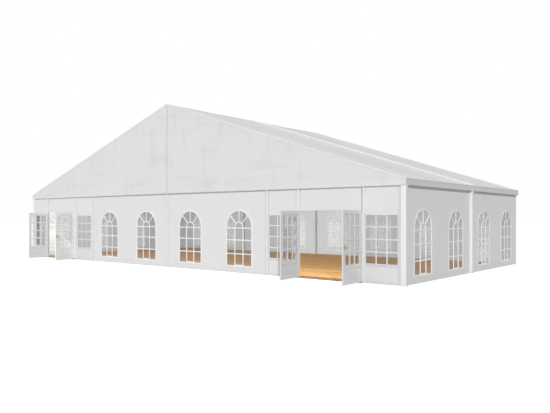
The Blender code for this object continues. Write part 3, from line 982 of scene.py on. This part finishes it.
def leaf_template():
    work = bmesh.new()
    left, right = LEAF_START + STILE, LEAF_END - STILE
    bar(work, (LEAF_START, LEAF_NEAR, LEAF_FOOT), (left, LEAF_FAR, LEAF_TOP))
    bar(work, (right, LEAF_NEAR, LEAF_FOOT), (LEAF_END, LEAF_FAR, LEAF_TOP))
    for low, high in ((LEAF_FOOT, KICK_LOW), (KICK_HIGH, GLASS_LOW), (GLASS_HIGH, LEAF_TOP)):
        bar(work, (left, LEAF_NEAR + 0.0005, low), (right, LEAF_FAR - 0.0005, high))
    step = (right - left) / 3
    for count in (1, 2):
        x = left + count * step
        bar(work, (x - LEAF_BAR / 2, 0.0185, GLASS_LOW), (x + LEAF_BAR / 2, 0.0505, GLASS_HIGH))
    rise = (GLASS_HIGH - GLASS_LOW) / 4
    for count in (1, 2, 3):
        z = GLASS_LOW + count * rise
        bar(work, (left, 0.019, z - LEAF_BAR / 2), (right, 0.050, z + LEAF_BAR / 2))
    for near, far in ((0.017, 0.0312), (0.0378, 0.052)):
        rectangle_band(work, (left, GLASS_LOW), (right, GLASS_HIGH), 0.014, near, far)
    soften(work, 0.0025)
    kick = bar(work, (left, 0.024, KICK_LOW), (right, 0.045, KICK_HIGH))
    for face in list({f for v in kick for f in v.link_faces}):
        if abs(face.normal.y) > 0.5:
            bmesh.ops.inset_region(work, faces=[face], thickness=0.035, use_even_offset=True)
            bmesh.ops.inset_region(work, faces=[face], thickness=0.012, depth=0.006)
    return as_template(work, "door_leaf")


LEAF = leaf_template()
print("one leaf:", len(LEAF.polygons), "faces")

# %% [markdown]
# A hinge has three barrels that turn on the fixed ones of the door post. Each barrel is a short
# rounded cylinder with a tab on to the leaf. Between the fixed barrels a round profile fills the
# corner between leaf and post. It lies on the hinge axis, so it stays in place as the leaf swings.

# %% Hinge barrels
HINGE_FEET = (0.3003, 1.1003, 1.9003)
BARREL = 0.010
BARREL_HIGH = 0.05
CORNER_ROUND = 0.0106
CORNER_RUNS = ((0.045, 0.248), (0.302, 1.048), (1.102, 1.848), (1.902, 2.108))


def barrels_template():
    work = bmesh.new()
    for foot in HINGE_FEET:
        centre = Matrix.Translation((0.0, 0.0, foot + BARREL_HIGH / 2))
        bmesh.ops.create_cone(
            work,
            cap_ends=True,
            segments=24,
            radius1=BARREL,
            radius2=BARREL,
            depth=BARREL_HIGH,
            matrix=centre,
        )
        bar(work, (0.004, -0.004, foot), (0.033, 0.016, foot + BARREL_HIGH))
    for foot, top in CORNER_RUNS:
        centre = Matrix.Translation((0.0, 0.0, (foot + top) / 2))
        bmesh.ops.create_cone(
            work,
            cap_ends=True,
            segments=24,
            radius1=CORNER_ROUND,
            radius2=CORNER_ROUND,
            depth=top - foot,
            matrix=centre,
        )
    soften(work, 0.0012)
    return as_template(work, "hinge_barrels")


BARRELS = barrels_template()
print("hinge barrels:", len(BARRELS.polygons), "faces")

# %% [markdown]
# The lever handle is a steel plate with rounded corners, a dark neck that comes out of it and bends
# through a quarter turn, and a lever back over the leaf. The neck and lever are one circle: extruded,
# spun round the bend and extruded again, getting slimmer. Both are mirrored to the inner face.

# %% Handle template
HANDLE_X = 1.0955
HANDLE_Z = 1.07
NECK = 0.009


def one_plate(work):
    """The plate on the outer face, towards -y, with its round lock."""
    low = (HANDLE_X - 0.020, LEAF_NEAR - 0.008, HANDLE_Z - 0.085)
    plate = bar(work, low, (HANDLE_X + 0.020, LEAF_NEAR - 0.0003, HANDLE_Z + 0.085))
    edges = {e for v in plate for e in v.link_edges}
    edges = [e for e in edges if abs((e.verts[0].co - e.verts[1].co).y) > 0.005]
    bmesh.ops.bevel(work, geom=edges, offset=0.012, segments=4, profile=0.5, affect="EDGES", material=-1)
    lock = Matrix.Translation((HANDLE_X, LEAF_NEAR - 0.006, HANDLE_Z - 0.055))
    lock = lock @ Matrix.Rotation(math.pi / 2, 4, "X")
    bmesh.ops.create_cone(
        work, cap_ends=True, segments=24, radius1=0.006, radius2=0.006, depth=0.012, matrix=lock
    )


def one_lever(work):
    """The lever on the outer face, towards -y."""
    turn = Matrix.Translation((HANDLE_X, LEAF_NEAR - 0.006, HANDLE_Z)) @ Matrix.Rotation(math.pi / 2, 4, "X")
    loop = bmesh.ops.create_circle(work, radius=NECK, segments=20, matrix=turn)["verts"]
    edges = list({e for v in loop for e in v.link_edges})

    def draw_out(edges, step, size=1.0):
        grown = bmesh.ops.extrude_edge_only(work, edges=edges)["geom"]
        verts = [item for item in grown if isinstance(item, bmesh.types.BMVert)]
        bmesh.ops.translate(work, vec=step, verts=verts)
        if size != 1.0:
            centre = sum((v.co for v in verts), Vector()) / len(verts)
            bmesh.ops.scale(work, vec=(1.0, size, size), space=Matrix.Translation(-centre), verts=verts)
        around = {e for v in verts for e in v.link_edges}
        return [e for e in around if e.verts[0] in verts and e.verts[1] in verts]

    edges = draw_out(edges, (0.0, -0.026, 0.0))
    ends = bmesh.ops.spin(
        work,
        geom=edges + list({v for e in edges for v in e.verts}),
        cent=(HANDLE_X - 0.014, LEAF_NEAR - 0.032, HANDLE_Z),
        axis=(0.0, 0.0, 1.0),
        angle=-math.pi / 2,
        steps=6,
        use_duplicate=False,
    )["geom_last"]
    edges = [item for item in ends if isinstance(item, bmesh.types.BMEdge)]
    for step, size in ((0.030, 0.96), (0.040, 0.94), (0.030, 0.92), (0.005, 0.7)):
        edges = draw_out(edges, (-step, 0.0, 0.0), size)
    bmesh.ops.contextual_create(work, geom=edges)


def both_faces(one_face, name):
    """What one_face makes on the outer face, and its mirror image on the inner one."""
    work = bmesh.new()
    one_face(work)
    bmesh.ops.remove_doubles(work, verts=work.verts, dist=1e-6)
    middle = (LEAF_NEAR + LEAF_FAR) / 2
    outer = bmesh.ops.duplicate(work, geom=work.verts[:] + work.edges[:] + work.faces[:])["geom"]
    verts = [item for item in outer if isinstance(item, bmesh.types.BMVert)]
    back = Matrix.Translation((0.0, 2 * middle, 0.0)) @ Matrix.Diagonal((1.0, -1.0, 1.0, 1.0))
    bmesh.ops.transform(work, matrix=back, verts=verts)
    return as_template(work, name)


PLATES = both_faces(one_plate, "handle_plates")
LEVERS = both_faces(one_lever, "handle_levers")
print("one pair of levers:", len(LEVERS.polygons), "faces")

# %% [markdown]
# Each leaf is stamped at its own angle. Leaf and barrels ride on the leaf's body, so they swing
# about the same axis as the solids, and the levers ride with the right-hand leaves.

# %% Door leaves
INNER_AXIS, OUTER_AXIS = 6.298, 8.617
AXIS_Y = -5.0017
LEAVES = (
    ("left_door_left_leaf", -OUTER_AXIS, 1, 75.0),
    ("left_door_right_leaf", -INNER_AXIS, -1, 107.0),
    ("right_door_left_leaf", INNER_AXIS, 1, 82.0),
    ("right_door_right_leaf", OUTER_AXIS, -1, 95.0),
)
for leaf, axis_x, reach, angle in LEAVES:
    place = (
        Matrix.Translation((axis_x, AXIS_Y, 0.0))
        @ Matrix.Rotation(-reach * math.radians(angle), 4, "Z")
        @ Matrix.Diagonal((reach, 1.0, 1.0, 1.0))
    )
    work = bmesh.new()
    stamp(work, LEAF, place)
    stamp(work, BARRELS, place)
    # the left door's leaves get the painted light white, the right door's the painted shade white
    finish = LEFT_DOOR_LIT_WHITE if leaf.startswith("left_door") else RIGHT_DOOR_SHADED_WHITE
    keep(work, f"{leaf}_profiles", finish, body=leaf, replaced=[leaf])
    if "right_leaf" in leaf:
        handle = [f"{leaf}_handle"]
        work = bmesh.new()
        stamp(work, PLATES, place)
        keep(work, f"{leaf}_handle_plates", STEEL, body=leaf, replaced=handle)
        work = bmesh.new()
        stamp(work, LEVERS, place)
        levers = keep(work, f"{leaf}_levers", DARK_METAL, body=leaf, replaced=handle)
        for face in levers.data.polygons:
            face.use_smooth = len(face.vertices) == 4
print("leaves:", [leaf for leaf, *_ in LEAVES])

# %% [markdown]
# The floor is laid in rows of boards that run along the tent. Every row starts at a different
# point, boards are 2 to 3 m long, and a gap of 3 mm shows as a dark line. Rows beside a leg stop
# short of it. Each board gets its own tone, kept on its points, for the wood finish to read. The
# boards are hidden from bounced light, so that the white walls stay neutral.

# %% Floor boards
BOARD_WIDE = 0.1448
BOARD_GAP = 0.003
BOARD_TOP = 0.030
ROW_FIRST, ROW_LAST = -4.8894, 4.8894
SIDE_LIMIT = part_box("board_floor")[1].x
LEG_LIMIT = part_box("front_window_film")[1].x
REAR_LEG_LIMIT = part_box("rear_window_film")[1].x
FRAME_FACE = 4.8694
MIDDLE_NOTCH = 0.0603


def row_limit(low, high):
    """How far a row may reach before it meets a side wall or a leg."""
    if high > FRAME_FACE:
        return REAR_LEG_LIMIT
    if low < -FRAME_FACE or (low < MIDDLE_NOTCH and high > -MIDDLE_NOTCH):
        return LEG_LIMIT
    return SIDE_LIMIT


def lay_board(work, tones, chance, low, high):
    before = len(work.verts)
    bar(work, low, high)
    work.verts.ensure_lookup_table()
    tone = chance.random()
    for vert in work.verts[before:]:
        vert[tones] = tone


def floor_boards():
    work = bmesh.new()
    tones = work.verts.layers.float.new("board_tone")
    chance = random.Random(11)
    rows = round((ROW_LAST - ROW_FIRST) / BOARD_WIDE)
    wide = (ROW_LAST - ROW_FIRST) / rows
    for row in range(rows):
        low = ROW_FIRST + row * wide + BOARD_GAP / 2
        high = low + wide - BOARD_GAP
        limit = row_limit(low, high)
        start = -limit
        end = start + chance.uniform(0.7, 2.6)
        while start < limit - 0.01:
            if end > limit - 0.5:
                end = limit
            lay_board(work, tones, chance, (start + BOARD_GAP / 2, low, 0.002), (end - BOARD_GAP / 2, high, BOARD_TOP))
            start = end
            end = start + chance.uniform(2.0, 3.0)
    for turn in (-1, 1):
        near, far = sorted((turn * 6.2956, turn * 8.6194))
        lay_board(work, tones, chance, (near, -4.9845, 0.002), (far, -4.8915, BOARD_TOP))
    soften(work, 0.0015)
    return keep(work, "floor_boards", FLOOR_WOOD, replaced=["board_floor"])


boards = floor_boards()
boards.visible_diffuse = False
print("floor boards:", len(boards.data.polygons), "faces")

# %% [markdown]
# Narrow seals close the joints between wall panels and uprights: a dark gasket on the left of each
# upright, which is painted shadow of the upright, a pale one on its right, and a fine grey line a little
# further in, where the panel has its own frame. The legs carry a cover in the tone of the wall on the
# side that faces outwards, and a filler closes the joint beside each corner leg.

# %% Panel seals and covers
UPRIGHTS = (-5.0, 0.0, 5.0)
DOOR_POSTS = (6.27, 8.645)
POST_HALF = 0.025
GASKET_WIDE = 0.018
HEAD_GASKET = 0.030
STRUCTURE = 4.9897
GASKET_FACE = STRUCTURE - 0.015
SEAL_AWAY = 0.085
COVER = 0.0012


def front_lines():
    doors = [turn * x for turn in (-1, 1) for x in DOOR_POSTS]
    return sorted([*UPRIGHTS, *doors])


def gaskets(name, side, plane, finish):
    """Gaskets on one side of each upright of the front."""
    work = bmesh.new()
    for x in front_lines():
        over_door = doorway(x, side)
        wide = HEAD_GASKET if over_door else GASKET_WIDE
        near, far = sorted((x + side * POST_HALF, x + side * (POST_HALF + wide)))
        foot = DOOR_FOOT if over_door else 0.006
        bar(work, (near, -GASKET_FACE, foot), (far, plane, WALL_TOP))
    soften(work, 0.002)
    return keep(work, name, finish)


DOOR_FOOT = 2.125


def doorway(x, side):
    """Whether this side of an upright opens on a doorway."""
    away = abs(x + side * 0.1)
    return DOOR_POSTS[0] < away < DOOR_POSTS[1]


def panel_lines(name, plane, outwards, lines, foot):
    work = bmesh.new()
    near, far = sorted((plane, plane + outwards * 0.0025))
    for x in lines:
        bar(work, (x - SEAL / 2, near, foot), (x + SEAL / 2, far, WALL_TOP))
    soften(work, 0.0008)
    return keep(work, name, SEAL_GREY)


LEG_FACES = ((10.0, -4.9897, -4.8697), (10.0, -0.06, 0.06), (SIDE_PLANE, 4.8697, 4.9897))


def leg_covers():
    work = bmesh.new()
    for turn in (-1, 1):
        for plane, low, high in LEG_FACES:
            near, far = sorted((turn * plane, turn * (plane + COVER)))
            bar(work, (near, low, 0.004), (far, high, 2.818))
    return keep(work, "leg_covers", WALL_SKIN)


def corner_fillers():
    work = bmesh.new()
    for turn in (-1, 1):
        near, far = sorted((turn * 9.765, turn * 9.8345))
        bar(work, (near, FRONT_PLANE - 0.006, 0.006), (far, FRONT_PLANE, WALL_TOP))
    soften(work, 0.001)
    return keep(work, "corner_fillers", PALE_SEAL)


def rear_inner_shade_covers():
    """Dark covers on the inner faces of the rear uprights, painted shade of those faces."""
    work = bmesh.new()
    inner = STRUCTURE - 0.10
    for x in UPRIGHTS:
        bar(work, (x - POST_HALF, inner - COVER, 0.035), (x + POST_HALF, inner, WALL_TOP))
        for turn in (-1, 1):
            near, far = sorted((x + turn * POST_HALF, x + turn * (POST_HALF + COVER)))
            bar(work, (near, inner - COVER, 0.035), (far, inner + 0.05, WALL_TOP))
    return keep(work, "rear_upright_painted_shade", REAR_SHADE_GREY)


wall_lines = [x + side * SEAL_AWAY for x in UPRIGHTS for side in (-1, 1) if abs(x + side * SEAL_AWAY) < 5.0]
head_lines = [turn * x for turn in (-1, 1) for x in (DOOR_POSTS[0] + SEAL_AWAY, DOOR_POSTS[1] - SEAL_AWAY)]
rear_lines = [x + side * SEAL_AWAY for x in UPRIGHTS for side in (-1, 1)]
seals = [
    # painted shadow: a dark strip on the left of each upright, where its shadow falls
    gaskets("front_painted_shadow_gaskets", -1, FRONT_PLANE, SEAL_GREY),
    gaskets("front_pale_gaskets", 1, FRONT_PLANE, PALE_SEAL),
    panel_lines("front_panel_seals", FRONT_PLANE, -1, wall_lines, 0.02),
    panel_lines("front_head_seals", FRONT_PLANE, -1, head_lines, 2.135),
    panel_lines("rear_panel_seals", REAR_PLANE, 1, rear_lines, 0.02),
    leg_covers(),
    corner_fillers(),
    rear_inner_shade_covers(),
]
print("seals and covers:", [made.name for made in seals])
